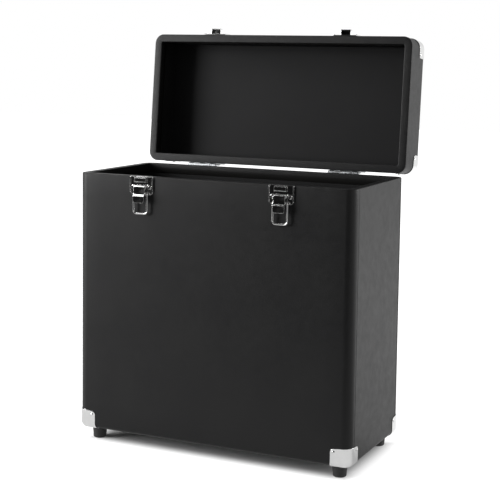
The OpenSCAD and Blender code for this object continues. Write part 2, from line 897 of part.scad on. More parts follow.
module handle_bow() {
  arm = handle_reach - bow_bend;
  color(steel) in_handle()
    difference() {
      union() {
        for (s = [0, 1]) mirror([s, 0, 0]) {
          translate([handle_x, 0, 0]) along_x(handle_eye_w, handle_eye_r);
          translate([handle_x, 0, 0]) rotate([-90, 0, 0]) cylinder(h = arm, d = bow_d);
          translate([handle_x - bow_bend, arm, 0]) wire_bend(bow_bend, bow_d / 2);
        }
        translate([0, handle_reach, 0]) along_x(2 * (handle_x - bow_bend), bow_d / 2);
      }
      for (s = [-1, 1])
        translate([s * handle_x, 0, 0]) along_x(2 * handle_eye_w, handle_pin_d / 2 + pin_gap);
    }
}

// swelled along an arc from its ends to its middle
module handle_grip() {
  swell = (grip_d - grip_end_d) / 2;
  arc_r = (grip_l * grip_l / 4 + swell * swell) / (2 * swell);
  bore_r = bow_d / 2 + nail_gap;
  color(leatherette) in_handle() translate([0, handle_reach, 0]) rotate([0, 90, 0])
    rotate_extrude()
      intersection() {
        translate([bore_r, -grip_l / 2]) square([grip_d / 2 - bore_r, grip_l]);
        translate([grip_d / 2 - arc_r, 0]) circle(arc_r, $fn = 1440);
      }
}

module handle_collars() {
  bore_r = bow_d / 2 + nail_gap;
  rim_r = grip_end_d / 2 + 0.6;
  color(chrome) in_handle() for (s = [0, 1]) mirror([s, 0, 0])
    translate([grip_l / 2, handle_reach, 0]) rotate([0, 90, 0])
      rotate_extrude()
        polygon([[bore_r, 0], [rim_r, 0], [rim_r, collar_l - 1.5], [rim_r - 2, collar_l],
                 [bore_r, collar_l]]);
}

body_front_panel();
body_back_panel();
body_left_panel();
body_right_panel();
body_bottom_panel();
body_front_cover();
body_back_cover();
body_left_cover();
body_right_cover();
body_bottom_cover();
body_lining();
body_corner(0);  // body_corner_back_right
body_corner(1);  // body_corner_back_left
body_corner(2);  // body_corner_front_left
body_corner(3);  // body_corner_front_right
body_corner_nails();
foot(0);  // foot_back_right
foot(1);  // foot_back_left
foot(2);  // foot_front_left
foot(3);  // foot_front_right
foot_screws();
latch_base(-1);  // latch_left_base
latch_base(1);  // latch_right_base
latch_pins();
latch_rivets();
lever(-1);  // latch_left_lever
lever(1);  // latch_right_lever
bail(-1);  // latch_left_bail
bail(1);  // latch_right_bail
body_leaf(-1);  // hinge_left_body_leaf
body_leaf(1);  // hinge_right_body_leaf
hinge_pins();
hinge_body_screws();
lid_front_panel();
lid_back_panel();
lid_left_panel();
lid_right_panel();
lid_top_panel();
lid_wall_cover();
lid_top_cover();
lid_lining();
lid_corner(0);  // lid_corner_back_right
lid_corner(1);  // lid_corner_back_left
lid_corner(2);  // lid_corner_front_left
lid_corner(3);  // lid_corner_front_right
lid_corner_nails();
strike(-1);  // latch_left_strike
strike(1);  // latch_right_strike
strike_rivets();
lid_leaf(-1);  // hinge_left_lid_leaf
lid_leaf(1);  // hinge_right_lid_leaf
hinge_lid_screws();
bracket(-1);  // handle_left_bracket
bracket(1);  // handle_right_bracket
handle_pins();
handle_rivets();
handle_bow();
handle_grip();
handle_collars();
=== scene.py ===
"""The looks of a record carrying case, built round its construction model.

Metres, with the origin on the floor under the middle of the box, +X to the right seen from
the front, +Y to the back and +Z up. The file follows the case as it is put together: boards,
leatherette, lining, corner caps, feet, hinges, latches, handle, and then the studio.
"""
import json
import math

import bmesh
import bpy
from mathutils import Matrix, Vector


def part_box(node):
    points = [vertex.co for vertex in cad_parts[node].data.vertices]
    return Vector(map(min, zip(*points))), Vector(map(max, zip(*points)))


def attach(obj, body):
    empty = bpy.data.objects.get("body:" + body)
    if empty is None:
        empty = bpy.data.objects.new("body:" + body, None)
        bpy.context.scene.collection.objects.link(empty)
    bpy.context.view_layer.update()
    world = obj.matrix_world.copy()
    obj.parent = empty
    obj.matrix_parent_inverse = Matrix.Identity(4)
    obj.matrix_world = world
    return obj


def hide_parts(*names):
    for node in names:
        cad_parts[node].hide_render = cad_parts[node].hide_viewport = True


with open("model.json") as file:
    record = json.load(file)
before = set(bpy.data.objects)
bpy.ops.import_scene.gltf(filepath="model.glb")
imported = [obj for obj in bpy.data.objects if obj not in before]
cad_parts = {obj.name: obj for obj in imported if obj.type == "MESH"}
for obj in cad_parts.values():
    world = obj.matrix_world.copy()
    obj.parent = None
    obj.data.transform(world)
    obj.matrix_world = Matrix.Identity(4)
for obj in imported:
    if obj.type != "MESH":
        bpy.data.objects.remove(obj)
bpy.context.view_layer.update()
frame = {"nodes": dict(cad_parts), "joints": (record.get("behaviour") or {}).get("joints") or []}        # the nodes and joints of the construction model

NODES = frame["nodes"]
MM = 0.001

# ---- Boards ----
# Ten pieces of medium-density fibreboard, sawn to size and glued up, five to the box and five
# to the lid. Leatherette and lining hide them, so they only show if a cover is lifted.


def linear(colour):
    """An sRGB hex colour as the linear RGBA that a shader takes."""
    parts = [int(colour[i:i + 2], 16) / 255 for i in (1, 3, 5)]
    return [p / 12.92 if p <= 0.04045 else ((p + 0.055) / 1.055) ** 2.4 for p in parts] + [1.0]


def add_node(tree, kind, inputs, **settings):
    """Adds a node with its settings.

    An input takes a value, a socket, or a node, which stands for its first output."""
    node = tree.nodes.new("ShaderNode" + kind)
    for name, value in settings.items():
        setattr(node, name, value)
    for key, value in inputs.items():
        if isinstance(value, bpy.types.Node):
            value = value.outputs[0]
        if isinstance(value, bpy.types.NodeSocket):
            tree.links.new(value, node.inputs[key])
        else:
            node.inputs[key].default_value = value
    return node


def new_finish(name):
    """An empty material, its tree, and the place of a point on the piece."""
    material = bpy.data.materials.new(name)
    material.use_nodes = True
    tree = material.node_tree
    tree.nodes.clear()
    return material, tree, add_node(tree, "TexCoord", {}).outputs["Object"]


def paint(names, material):
    """Gives construction nodes their finish."""
    for name in names:
        NODES[name].data.materials.clear()
        NODES[name].data.materials.append(material)


def sawn_fibreboard():
    """Pressed wood fibre: matte, warm brown, flecked with darker fibres about 1 mm long."""
    fibre = 1.1 * MM
    patch = 30 * MM
    material, tree, place = new_finish("fibreboard_sawn")
    flecks = add_node(tree, "TexNoise", {
        "Vector": place, "Scale": 1 / fibre, "Detail": 6.0, "Roughness": 0.65})
    patches = add_node(tree, "TexNoise", {"Vector": place, "Scale": 1 / patch})
    shade = add_node(tree, "MapRange", {
        "Value": patches, "From Min": 0.3, "From Max": 0.7, "To Max": 0.25})
    brown = add_node(tree, "Mix", {0: flecks, 6: linear("#7a5c3c"), 7: linear("#9b7b55")},
                     data_type="RGBA")
    colour = add_node(tree, "Mix", {0: shade, 6: brown.outputs[2], 7: linear("#6b5034")},
                      data_type="RGBA")
    relief = add_node(tree, "Bump", {"Height": flecks, "Distance": 0.12 * MM, "Strength": 1.0})
    board = add_node(tree, "BsdfPrincipled", {
        "Base Color": colour.outputs[2], "Roughness": 0.9, "Normal": relief})
    add_node(tree, "OutputMaterial", {"Surface": board})
    return material


paint([n for n in NODES if n.endswith("_panel")], sawn_fibreboard())

# ---- Leatherette of the box ----
# Five sheets of black polyurethane leatherette, 0.4 mm thick, glued on. Front and back wrap
# round two upright edges each, the four on the walls fold over the rim and under the box, and
# the seams lie 13 mm in.

SHEET = 0.4 * MM
EDGE_R = 11.5 * MM                 # upright edges
BASE_R = 6.0 * MM                  # edges of the underside
FOLD_R = 1.1 * MM                  # fold over the rim
WALL = 9.8 * MM                    # from the outside to the inside of the turned-in sheet
TURN_IN = 12 * MM
SEAM_IN = 13 * MM
GROOVE = 0.32 * MM                 # how far two sheets dip where they meet
GROOVE_W = 0.5 * MM
SEAM_STEPS = [0.0, 0.3 * MM, 0.6 * MM, 1.0 * MM, 1.6 * MM]
SEAM_ROOM = 4 * MM                 # kept clear of other stations beside a seam
ROUND_STEPS = 10
FOLD_STEPS = 6
WALL_STEPS = 16                    # stations along a wall
SAME = 1e-6                        # points nearer than this are one


def arc(cx, cy, radius, start, end, steps):
    """Points on an arc, from one angle to the other, in degrees."""
    turns = [math.radians(start + (end - start) * i / steps) for i in range(steps + 1)]
    return [(cx + radius * math.cos(t), cy + radius * math.sin(t)) for t in turns]


def dip(distance):
    """Depth of the groove at a distance from a seam."""
    return GROOVE * math.exp(-(distance / GROOVE_W) ** 2)


def wall_profile(height):
    """From the seam underneath, out, up the wall, over the rim and down inside.

    Each point is (inwards from the wall's face, up from the underside)."""
    under = [(SEAM_IN - d, dip(d)) for d in SEAM_STEPS] + [((SEAM_IN + BASE_R) / 2, 0)]
    foot = [(BASE_R - x, BASE_R + y) for x, y in arc(0, 0, BASE_R, -90, 0, ROUND_STEPS)]
    rows = 12
    bend = height - FOLD_R
    straight = 3 * MM
    side = [(0, BASE_R + (bend - BASE_R) * i / rows) for i in range(1, rows)]
    outer = [(FOLD_R - x, bend + y) for x, y in arc(0, 0, FOLD_R, 0, 90, FOLD_STEPS)]
    inner = [(WALL - FOLD_R + x, bend + y) for x, y in arc(0, 0, FOLD_R, 90, 0, FOLD_STEPS)]
    inside = [(WALL, bend - straight), (WALL, height - TURN_IN)]
    return under + foot + side + outer + inner + inside


def on_wall(half_w, half_d, wall, along, groove):
    """A station on a straight wall: its place at a depth inside the wall's face."""
    side = 1 if wall in (0, 1) else -1               # right, back; left, front

    def place(inwards):
        depth = inwards + (groove if inwards < SEAM_IN else 0)
        across, reach = (half_w, half_d) if wall % 2 == 0 else (half_d, half_w)
        kept = math.copysign(min(abs(along), reach - max(inwards, 0)), along)
        out = side * (across - depth)
        return (out, kept) if wall % 2 == 0 else (kept, out)
    return place


def on_edge(half_w, half_d, corner, turn):
    """A station on an upright edge, turn degrees round it."""
    sx = 1 if corner in (0, 3) else -1
    sy = 1 if corner < 2 else -1
    angle = math.radians(90 * corner + turn)

    def place(inwards):
        centre = max(EDGE_R, inwards)
        radius = max(EDGE_R - inwards, 0)
        return (sx * (half_w - centre) + radius * math.cos(angle),
                sy * (half_d - centre) + radius * math.sin(angle))
    return place


def tray_stations(half_w, half_d, seams):
    """Stations round a tray's walls from the right one on: (wall, distance along it, place).

    seams holds the y of each seam on the side walls, or nothing."""
    stations = []
    half = WALL_STEPS // 2
    for wall in range(4):
        ends = (half_d if wall % 2 == 0 else half_w) - EDGE_R
        stops = {ends * i / half for i in range(-half, half + 1)}
        on_seams = seams if wall % 2 == 0 else []
        for seam in on_seams:
            stops = {s for s in stops if abs(s - seam) > SEAM_ROOM or abs(s) == ends}
            beside = {seam + side * d for side in (-1, 1) for d in SEAM_STEPS}
            stops |= {s for s in beside if abs(s) < ends}
        for along in sorted(stops, reverse=wall in (1, 2)):
            groove = dip(min([abs(along - s) for s in on_seams], default=math.inf))
            stations.append((wall, along, on_wall(half_w, half_d, wall, along, groove)))
        for i in range(1, ROUND_STEPS):
            stations.append((wall, None, on_edge(half_w, half_d, wall, 90 * i / ROUND_STEPS)))
    return stations


def tray_rows(stations, height):
    """At each station, the row of points from the underside up the wall and down inside."""
    return [[(*place(inwards), up) for inwards, up in wall_profile(height)]
            for _, _, place in stations]


def cut_sheet(name, rows, closed, matrix, middle):
    """A sheet of leatherette on rows of points, its face turned away from the tray's middle."""
    mesh = bpy.data.meshes.new(name)
    form = bmesh.new()
    grid = [[form.verts.new(matrix @ Vector(p)) for p in row] for row in rows]
    count = len(grid)
    for i in range(count if closed else count - 1):
        first, second = grid[i], grid[(i + 1) % count]
        for j in range(len(first) - 1):
            form.faces.new((first[j], second[j], second[j + 1], first[j + 1]))
    bmesh.ops.remove_doubles(form, verts=form.verts, dist=SAME)
    bmesh.ops.recalc_face_normals(form, faces=form.faces)
    form.to_mesh(mesh)
    form.free()
    mesh.shade_smooth()
    if sum((p.center - middle).normalized().dot(p.normal) * p.area for p in mesh.polygons) < 0:
        mesh.flip_normals()
    piece = bpy.data.objects.new(name, mesh)
    bpy.context.scene.collection.objects.link(piece)
    solid = piece.modifiers.new("thickness", "SOLIDIFY")
    solid.thickness = SHEET
    solid.offset = -1.0
    return piece


def cut_flat_sheet(name, half_w, half_d, matrix, middle):
    """The sheet inside the seams of a tray's underside, dipping at its edges."""
    inner_step = 6 * MM
    steps = SEAM_STEPS + [inner_step]
    xs = [-half_w + d for d in steps] + [0.0] + [half_w - d for d in reversed(steps)]
    ys = [-half_d + d for d in steps] + [0.0] + [half_d - d for d in reversed(steps)]
    rows = [[(x, y, dip(min(half_w - abs(x), half_d - abs(y)))) for y in ys] for x in xs]
    return cut_sheet(name, rows, False, matrix, middle)


def pressed_leatherette():
    """PU film embossed with a fine hide grain: black, satin, a little smoother on worn edges.

    The grain is 0.9 mm, drawn at 1.3 mm so that it still shows from a step away."""
    grain = 1.3 * MM
    pore = 0.35 * MM
    print_step = 9 * MM
    ripple = 45 * MM
    patch = 70 * MM
    material, tree, place = new_finish("leatherette_embossed")
    cells = add_node(tree, "TexVoronoi", {"Vector": place, "Scale": 1 / grain},
                     feature="DISTANCE_TO_EDGE")
    creases = add_node(tree, "MapRange", {"Value": cells, "From Max": 0.22})
    pores = add_node(tree, "TexNoise", {
        "Vector": place, "Scale": 1 / pore, "Detail": 3.0, "Roughness": 0.6})
    ripples = add_node(tree, "TexNoise", {"Vector": place, "Scale": 1 / ripple, "Detail": 1.0})
    patches = add_node(tree, "TexNoise", {"Vector": place, "Scale": 1 / patch, "Detail": 3.0})
    prints = add_node(tree, "TexNoise", {
        "Vector": place, "Scale": 1 / print_step, "Detail": 4.0, "Roughness": 0.6})
    worn = add_node(tree, "MapRange", {
        "Value": add_node(tree, "NewGeometry", {}).outputs["Pointiness"],
        "From Min": 0.51, "From Max": 0.6, "To Max": 0.5})
    clouded = add_node(tree, "MapRange", {"Value": patches, "From Min": 0.3, "From Max": 0.7})
    # The grain's creases are painted darker, mixed up to 30% toward #0b0b0b: painted shade in
    # their hollows, on top of the bump.
    painted_crease_shade = add_node(tree, "MapRange", {"Value": creases, "To Min": 0.3, "To Max": 0.0})
    black = add_node(tree, "Mix", {0: clouded, 6: linear("#101011"), 7: linear("#151515")},
                     data_type="RGBA")
    dark = add_node(tree, "Mix", {0: painted_crease_shade, 6: black.outputs[2], 7: linear("#0b0b0b")},
                    data_type="RGBA")
    colour = add_node(tree, "Mix", {0: worn, 6: dark.outputs[2], 7: linear("#302f2d")},
                      data_type="RGBA")
    gloss = add_node(tree, "MapRange", {
        "Value": prints, "From Min": 0.3, "From Max": 0.7, "To Min": 0.40, "To Max": 0.48})
    rubbed = add_node(tree, "Math", {0: worn, 1: -0.2, 2: gloss}, operation="MULTIPLY_ADD")
    waves = add_node(tree, "Bump", {"Height": ripples, "Distance": 0.35 * MM, "Strength": 1.0})
    pitted = add_node(tree, "Bump", {
        "Height": pores, "Distance": 0.012 * MM, "Strength": 1.0, "Normal": waves})
    embossed = add_node(tree, "Bump", {
        "Height": creases, "Distance": 0.03 * MM, "Strength": 1.0, "Normal": pitted})
    film = add_node(tree, "BsdfPrincipled", {
        "Base Color": colour.outputs[2], "Roughness": rubbed, "IOR": 1.4,
        "Specular IOR Level": 0.33, "Normal": embossed})
    add_node(tree, "OutputMaterial", {"Surface": film})
    return material


leatherette = pressed_leatherette()


def glue_on(piece, body, node):
    """A sheet of leatherette in the place of its construction node."""
    piece.data.materials.append(leatherette)
    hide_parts(node)
    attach(piece, body)


body_high = Vector((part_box("body_right_cover")[1].x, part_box("body_back_cover")[1].y,
                    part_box("body_front_cover")[1].z))
BOTTOM_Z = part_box("body_bottom_cover")[0].z
HALF_W = body_high.x
HALF_D = body_high.y
RIM_Z = body_high.z
SEAM_Y = HALF_D - SEAM_IN
on_feet = Matrix.Translation((0, 0, BOTTOM_Z))
body_middle = Vector((0, 0, (BOTTOM_Z + RIM_Z) / 2))

stations = tray_stations(HALF_W, HALF_D, [-SEAM_Y, SEAM_Y])
rows = tray_rows(stations, RIM_Z - BOTTOM_Z)
seams = {(wall, round(along / SEAM_Y)): index for index, (wall, along, _) in enumerate(stations)
         if wall % 2 == 0 and along is not None and abs(abs(along) - SEAM_Y) < SAME}
# Each sheet on the walls runs from one seam to the next. A seam is its wall, 0 for the right and
# 2 for the left, and -1 for the one near the front or 1 for the one near the back.
for name, first, last in (("back", (0, 1), (2, 1)), ("left", (2, 1), (2, -1)),
                          ("front", (2, -1), (0, -1)), ("right", (0, -1), (0, 1))):
    span = (seams[last] - seams[first]) % len(rows)
    strip = [rows[(seams[first] + i) % len(rows)] for i in range(span + 1)]
    sheet = cut_sheet(f"leatherette_body_{name}", strip, False, on_feet, body_middle)
    glue_on(sheet, "body", f"body_{name}_cover")
sheet = cut_flat_sheet("leatherette_body_bottom", HALF_W - SEAM_IN, HALF_D - SEAM_IN, on_feet,
                       body_middle)
glue_on(sheet, "body", "body_bottom_cover")

# ---- Leatherette of the lid ----
# One strip runs round the lid's four walls, drawn without its butt seam, and one sheet lies on
# the top. The lid is drawn closed and upside down, and then turned to its open rest.

hinge = next(j for j in frame["joints"] if j["name"] == "lid_hinge")
AXIS = Vector(hinge["pos_m"])
OPEN = math.radians(hinge["range_deg"][1])
LID_H = 50 * MM
to_open = Matrix.Translation(AXIS) @ Matrix.Rotation(-OPEN, 4, "X") @ Matrix.Translation(-AXIS)
on_lid = to_open @ Matrix.Translation((0, 0, RIM_Z + LID_H)) @ Matrix.Diagonal((1, 1, -1, 1))
lid_middle = on_lid @ Vector((0, 0, LID_H / 2))

rows = tray_rows(tray_stations(HALF_W, HALF_D, []), LID_H)
sheet = cut_sheet("leatherette_lid_walls", rows, True, on_lid, lid_middle)
glue_on(sheet, "lid", "lid_wall_cover")
sheet = cut_flat_sheet("leatherette_lid_top", HALF_W - SEAM_IN, HALF_D - SEAM_IN, on_lid,
                       lid_middle)
glue_on(sheet, "lid", "lid_top_cover")

# ---- Lining ----
# Black lining paper glued inside the box and the lid, its edge tucked under the turned-in
# leatherette. It is duller than the leatherette, so the inside reads as almost black.


def lining_paper():
    """Calendered paper with a fine fibre: nearly black, with a faint soft sheen."""
    fibre = 0.5 * MM
    cloud = 60 * MM
    material, tree, place = new_finish("lining_paper_calendered")
    fibres = add_node(tree, "TexNoise", {
        "Vector": place, "Scale": 1 / fibre, "Detail": 5.0, "Roughness": 0.6})
    clouds = add_node(tree, "TexNoise", {"Vector": place, "Scale": 1 / cloud})
    clouded = add_node(tree, "MapRange", {"Value": clouds, "From Min": 0.3, "From Max": 0.7})
    pale = add_node(tree, "MapRange", {
        "Value": fibres, "From Min": 0.3, "From Max": 0.7, "To Max": 0.35})
    black = add_node(tree, "Mix", {0: clouded, 6: linear("#0f0f10"), 7: linear("#131314")},
                     data_type="RGBA")
    colour = add_node(tree, "Mix", {0: pale, 6: black.outputs[2], 7: linear("#202020")},
                      data_type="RGBA")
    gloss = add_node(tree, "MapRange", {
        "Value": fibres, "From Min": 0.2, "From Max": 0.8, "To Min": 0.58, "To Max": 0.7})
    wavy = add_node(tree, "Bump", {"Height": clouds, "Distance": 0.15 * MM, "Strength": 1.0})
    furred = add_node(tree, "Bump", {
        "Height": fibres, "Distance": 0.02 * MM, "Strength": 1.0, "Normal": wavy})
    paper = add_node(tree, "BsdfPrincipled", {
        "Base Color": colour.outputs[2], "Roughness": gloss, "IOR": 1.45,
        "Specular IOR Level": 0.18, "Normal": furred})
    add_node(tree, "OutputMaterial", {"Surface": paper})
    return material


paint(["body_lining", "lid_lining"], lining_paper())

# ---- Corner caps and nails ----
# Eight pressed steel caps, nickel-chrome plated, each held by three round-head nails through
# its lobes: two into the walls and one into the bottom or the top.


def soft_edges(names, width):
    """Rounds the sharp edges of construction nodes by a real width.

    Flat faces are joined first, because thin triangles beside an edge would fold over."""
    flat_within = 0.5                  # degrees
    sharp_above = 40
    for name in names:
        mesh = NODES[name].data
        if "custom_normal" in mesh.attributes:
            mesh.attributes.remove(mesh.attributes["custom_normal"])
        mesh.shade_smooth()
        weld = NODES[name].modifiers.new("joined", "WELD")
        weld.merge_threshold = 2 * SAME
        flat = NODES[name].modifiers.new("whole_faces", "DECIMATE")
        flat.decimate_type = "DISSOLVE"
        flat.angle_limit = math.radians(flat_within)
        bevel = NODES[name].modifiers.new("soft_edges", "BEVEL")
        bevel.width = width
        bevel.segments = 2
        bevel.limit_method = "ANGLE"
        bevel.angle_limit = math.radians(sharp_above)
        bevel.harden_normals = True
        bevel.use_clamp_overlap = True
        bevel.loop_slide = False


def polished_chrome():
    """Chrome on pressed steel: mirror bright, with buffing ripples and a breath of haze."""
    haze = 7 * MM
    ripple = 3.5 * MM
    scratch = 0.4 * MM
    edge = 0.5 * MM
    material, tree, place = new_finish("chrome_plated_steel")
    hazy = add_node(tree, "TexNoise", {
        "Vector": place, "Scale": 1 / haze, "Detail": 4.0, "Roughness": 0.6})
    ripples = add_node(tree, "TexNoise", {"Vector": place, "Scale": 1 / ripple})
    scratches = add_node(tree, "TexNoise", {
        "Vector": place, "Scale": 1 / scratch, "Detail": 4.0, "Roughness": 0.7})
    colour = add_node(tree, "Mix", {0: hazy, 6: linear("#d8d8d8"), 7: linear("#e8e8e7")},
                      data_type="RGBA")
    gloss = add_node(tree, "MapRange", {
        "Value": hazy, "From Min": 0.35, "From Max": 0.75, "To Min": 0.05, "To Max": 0.16})
    rolled = add_node(tree, "Bevel", {"Radius": edge}, samples=6)
    pressed = add_node(tree, "Bump", {
        "Height": ripples, "Distance": 0.05 * MM, "Strength": 1.0, "Normal": rolled})
    buffed = add_node(tree, "Bump", {
        "Height": scratches, "Distance": 0.002 * MM, "Strength": 1.0, "Normal": pressed})
    plate = add_node(tree, "BsdfPrincipled", {
        "Base Color": colour.outputs[2], "Metallic": 1.0, "Roughness": gloss, "Normal": buffed})
    add_node(tree, "OutputMaterial", {"Surface": plate})
    return material


chrome = polished_chrome()
caps = [n for n in NODES if "_corner_" in n]
paint(caps, chrome)
soft_edges([n for n in caps if not n.endswith("_nails")], 0.2 * MM)
soft_edges([n for n in caps if n.endswith("_nails")], 0.1 * MM)

# ---- Feet ----
# Four moulded rubber feet, each on a zinc-plated countersunk screw sunk in its bore.


def moulded_rubber():
    """Black natural rubber from a mould: matte, finely pitted, dusty grey in patches."""
    pit = 0.4 * MM
    dust = 5 * MM
    material, tree, place = new_finish("rubber_moulded")
    pits = add_node(tree, "TexNoise", {
        "Vector": place, "Scale": 1 / pit, "Detail": 4.0, "Roughness": 0.6})
    dusty = add_node(tree, "TexNoise", {
        "Vector": place, "Scale": 1 / dust, "Detail": 4.0, "Roughness": 0.6})
    grey = add_node(tree, "MapRange", {
        "Value": dusty, "From Min": 0.45, "From Max": 0.75, "To Max": 0.5})
    colour = add_node(tree, "Mix", {0: grey, 6: linear("#121212"), 7: linear("#262524")},
                      data_type="RGBA")
    gloss = add_node(tree, "MapRange", {
        "Value": pits, "From Min": 0.2, "From Max": 0.8, "To Min": 0.55, "To Max": 0.75})
    pitted = add_node(tree, "Bump", {"Height": pits, "Distance": 0.03 * MM, "Strength": 1.0})
    rubber = add_node(tree, "BsdfPrincipled", {
        "Base Color": colour.outputs[2], "Roughness": gloss, "IOR": 1.52, "Normal": pitted})
    add_node(tree, "OutputMaterial", {"Surface": rubber})
    return material


feet = [n for n in NODES if n.startswith("foot_") and n != "foot_screws"]
paint(feet, moulded_rubber())
soft_edges(feet, 0.3 * MM)


def zinc_plate():
    """Bright zinc on steel: pale grey metal with fine rolling lines, duller than chrome."""
    line = 0.25 * MM
    cloud = 6 * MM
    material, tree, place = new_finish("zinc_plated_steel")
    drawn = add_node(tree, "Mapping", {"Vector": place, "Scale": (0.05, 1, 1)})
    lines = add_node(tree, "TexNoise", {
        "Vector": drawn, "Scale": 1 / line, "Detail": 3.0, "Roughness": 0.6})
    clouds = add_node(tree, "TexNoise", {"Vector": place, "Scale": 1 / cloud, "Detail": 3.0})
    colour = add_node(tree, "Mix", {0: clouds, 6: linear("#9d9fa1"), 7: linear("#bcbec0")},
                      data_type="RGBA")
    gloss = add_node(tree, "MapRange", {
        "Value": clouds, "From Min": 0.3, "From Max": 0.7, "To Min": 0.26, "To Max": 0.4})
    rolled = add_node(tree, "Bump", {"Height": lines, "Distance": 0.006 * MM, "Strength": 1.0})
    plate = add_node(tree, "BsdfPrincipled", {
        "Base Color": colour.outputs[2], "Metallic": 1.0, "Roughness": gloss, "Normal": rolled})
    add_node(tree, "OutputMaterial", {"Surface": plate})
    return material


zinc = zinc_plate()
paint(["foot_screws"], zinc)
soft_edges(["foot_screws"], 0.15 * MM)

# ---- Hinges ----
# Two butt hinges of zinc-plated sheet steel, rolled round their pins, three screws to a leaf,
# with tabs on the lid's leaf that stop the open lid. That leaf keeps its sheared, sharp edges.

hinge_parts = [n for n in NODES if n.startswith("hinge_")]
paint(hinge_parts, zinc)
soft_edges([n for n in hinge_parts if not n.endswith("_lid_leaf")], 0.15 * MM)

# ---- Latches ----
# Two draw latches pressed from chromed steel sheet: a base plate with its lever and wire bail
# on the box, and a strike with a hook on the lid, each on two tubular rivets. Pins are zinc.

latch_parts = [n for n in NODES if n.startswith("latch_") or n == "strike_rivets"]
paint(latch_parts, chrome)
paint(["latch_pins"], zinc)
soft_edges(latch_parts, 0.18 * MM)

# ---- Handle ----
# A bent rod of zinc-plated steel that swings on two riveted brackets, with a grip between two
# collars. The grip is felt wound round the rod and covered with leatherette, sewn shut along
# the inner side.

fittings = ["handle_left_bracket", "handle_right_bracket", "handle_pins", "handle_rivets",
            "handle_collars"]
paint(fittings, chrome)
paint(["handle_bow"], zinc)
soft_edges(fittings + ["handle_bow"], 0.2 * MM)

GRIP_R = 8.5 * MM                  # at its middle
GRIP_END_R = 6.75 * MM
ROD_R = 3.05 * MM
END_ROLL = 1.6 * MM                # rounding where the cover is turned in at the collars
SEAM_DEPTH = 0.5 * MM
SEAM_W = 0.9 * MM
STITCH = 4.0 * MM                  # pitch of the stitches
PUCKER = 0.16 * MM                 # how much the thread draws the cover in
PUCKER_W = 3 * MM
WELT = 0.12 * MM                   # the cover's turned-in edges, raised on both sides of the seam
WELT_OUT = 2.4 * MM                # their distance from the seam
WELT_W = 1.2 * MM
THREAD_R = 0.33 * MM

grip_low, grip_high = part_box("handle_grip")
GRIP_HALF = (grip_high.x - grip_low.x) / 2
grip_axis = (grip_low + grip_high) / 2


def grip_radius(along, turn):
    """The padded cover's radius at a distance along the rod, turn radians from the seam."""
    share = along / GRIP_HALF
    radius = GRIP_END_R + (GRIP_R - GRIP_END_R) * (1 - share * share)
    aside = radius * turn
    radius -= SEAM_DEPTH * math.exp(-(aside / SEAM_W) ** 2)
    drawn = 0.5 + 0.5 * math.cos(math.tau * along / STITCH)
    radius -= PUCKER * drawn * math.exp(-(aside / PUCKER_W) ** 2)
    radius += WELT * math.exp(-((abs(aside) - WELT_OUT) / WELT_W) ** 2)
    left = GRIP_HALF - abs(along)
    if left < END_ROLL:
        radius -= END_ROLL - math.sqrt(max(END_ROLL ** 2 - (END_ROLL - left) ** 2, 0))
    return radius


def padded_grip():
    """The covered grip round the rod, closed down to the rod at both ends."""
    around = 72
    roll_steps = 6
    rings_a_stitch = 6
    stops = [-GRIP_HALF + END_ROLL * (1 - math.cos(math.pi / 2 * i / roll_steps))
             for i in range(roll_steps)]
    inner = GRIP_HALF - END_ROLL
    count = round(2 * inner / (STITCH / rings_a_stitch))
    stops += [-inner + 2 * inner * i / count for i in range(count + 1)]
    stops += [-s for s in reversed(stops[:roll_steps])]
    mesh = bpy.data.meshes.new("handle_grip_padded")
    form = bmesh.new()
    rings = []
    for along in [-GRIP_HALF] + stops + [GRIP_HALF]:
        last = len(rings) in (0, len(stops) + 1)
        ring = []
        for i in range(around):
            turn = math.tau * i / around
            radius = ROD_R if last else grip_radius(along, min(turn, math.tau - turn))
            ring.append(form.verts.new(grip_axis + Vector((
                along, radius * math.sin(turn), radius * math.cos(turn)))))
        rings.append(ring)
    for first, second in zip(rings, rings[1:]):
        for i in range(around):
            j = (i + 1) % around
            form.faces.new((first[i], second[i], second[j], first[j]))
    bmesh.ops.recalc_face_normals(form, faces=form.faces)
    form.to_mesh(mesh)
    form.free()
    mesh.shade_smooth()
    piece = bpy.data.objects.new("handle_grip_padded", mesh)
    bpy.context.scene.collection.objects.link(piece)
    return piece


grip = padded_grip()
grip.data.materials.append(leatherette)
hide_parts("handle_grip")
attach(grip, "handle")


def waxed_thread():
    """Waxed polyester thread: charcoal, satin, with its twist just showing."""
    twist = 0.5 * MM
    material, tree, place = new_finish("polyester_thread_waxed")
    twisted = add_node(tree, "TexWave", {
        "Vector": place, "Scale": 1 / twist / math.tau, "Distortion": 1.0},
        bands_direction="DIAGONAL")
    colour = add_node(tree, "Mix", {0: twisted, 6: linear("#1d1c1c"), 7: linear("#3a3938")},
                      data_type="RGBA")
    plied = add_node(tree, "Bump", {"Height": twisted, "Distance": 0.05 * MM, "Strength": 1.0})
    thread = add_node(tree, "BsdfPrincipled", {
        "Base Color": colour.outputs[2], "Roughness": 0.55, "Normal": plied})
    add_node(tree, "OutputMaterial", {"Surface": thread})
    return material


